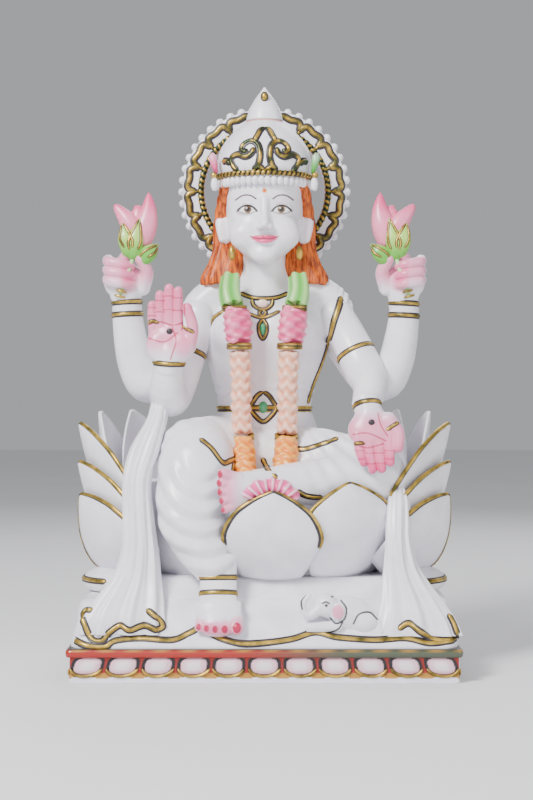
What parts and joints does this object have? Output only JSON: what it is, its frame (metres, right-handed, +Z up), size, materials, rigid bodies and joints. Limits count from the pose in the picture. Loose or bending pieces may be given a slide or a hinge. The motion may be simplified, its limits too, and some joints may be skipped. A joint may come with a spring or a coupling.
{
  "type": "seated goddess statue",
  "caption": "Painted white marble statue of a seated four-armed goddess with a round halo, on a lotus seat above a carved rectangular plinth.",
  "frame": {"origin": "centre of the plinth's underside, on the surface that the statue stands on", "axes": "+Z up, -Y towards the viewer (the figure faces -Y), +X to the viewer's right"},
  "size_m": [0.2952, 0.19, 0.457],
  "materials": {
    "marble": "polished white marble, clear glossy coat",
    "gold_leaf": "bright gilding over raised relief",
    "red_enamel": "glossy red-orange enamel with gilt highlights",
    "hair_paint": "orange-brown paint in brushed strands",
    "pink_paint": "soft pink airbrushed paint on marble",
    "green_paint": "light green paint on marble",
    "peach_paint": "pale peach paint on marble",
    "orange_paint": "yellow to orange paint on marble",
    "green_gem": "small green enamel gem"
  },
  "bodies": {
    "root": {"plinth_slab": "marble", "plinth_top_rail": "red_enamel", "plinth_scallop_ribs": "red_enamel", "foot_platform": "marble", "platform_gold_hem": "gold_leaf", "lower_petal_right": "marble", "lower_petal_left": "marble", "lotus_bowl": "marble", "front_petals": "marble", "left_side_petals": "marble", "right_side_petals": "marble", "rear_petals": "marble", "petal_gold_edges": "gold_leaf", "lap_drape": "marble", "right_leg_drape": "marble", "right_foot": "marble", "left_foot": "marble", "anklets": "gold_leaf", "torso": "marble", "sari_pallu_border": "gold_leaf", "waist_belt": "gold_leaf", "belt_buckle": "green_gem", "sari_gold_borders": "gold_leaf", "necklace": "gold_leaf", "necklace_pendant": "gold_leaf", "head": "marble", "hair": "hair_paint", "crown_dome": "marble", "crown_band": "gold_leaf", "crown_bead_fringe": "marble", "tiara_scrollwork": "gold_leaf", "crown_finial": "marble", "finial_gem": "gold_leaf", "crown_side_ornaments": "pink_paint", "halo_ring": "marble", "halo_rope": "gold_leaf", "halo_gold_arches": "gold_leaf", "earrings": "gold_leaf", "garland_green": "green_paint", "garland_pink": "pink_paint", "garland_peach": "peach_paint", "garland_orange": "orange_paint", "garland_gold_bands": "gold_leaf", "garland_flower": "pink_paint", "rear_right_arm": "marble", "rear_left_arm": "marble", "front_right_arm": "marble", "front_left_arm": "marble", "front_right_hand": "marble", "front_left_hand": "marble", "rear_right_hand": "marble", "rear_left_hand": "marble", "bangles_and_armlets": "gold_leaf", "palm_studs_and_rings": "gold_leaf", "lotus_bud_right": "pink_paint", "lotus_bud_left": "pink_paint", "shawl_right": "marble", "shawl_left": "marble", "shawl_gold_hems": "gold_leaf", "elephant": "marble"}
  },
  "joints": []
}
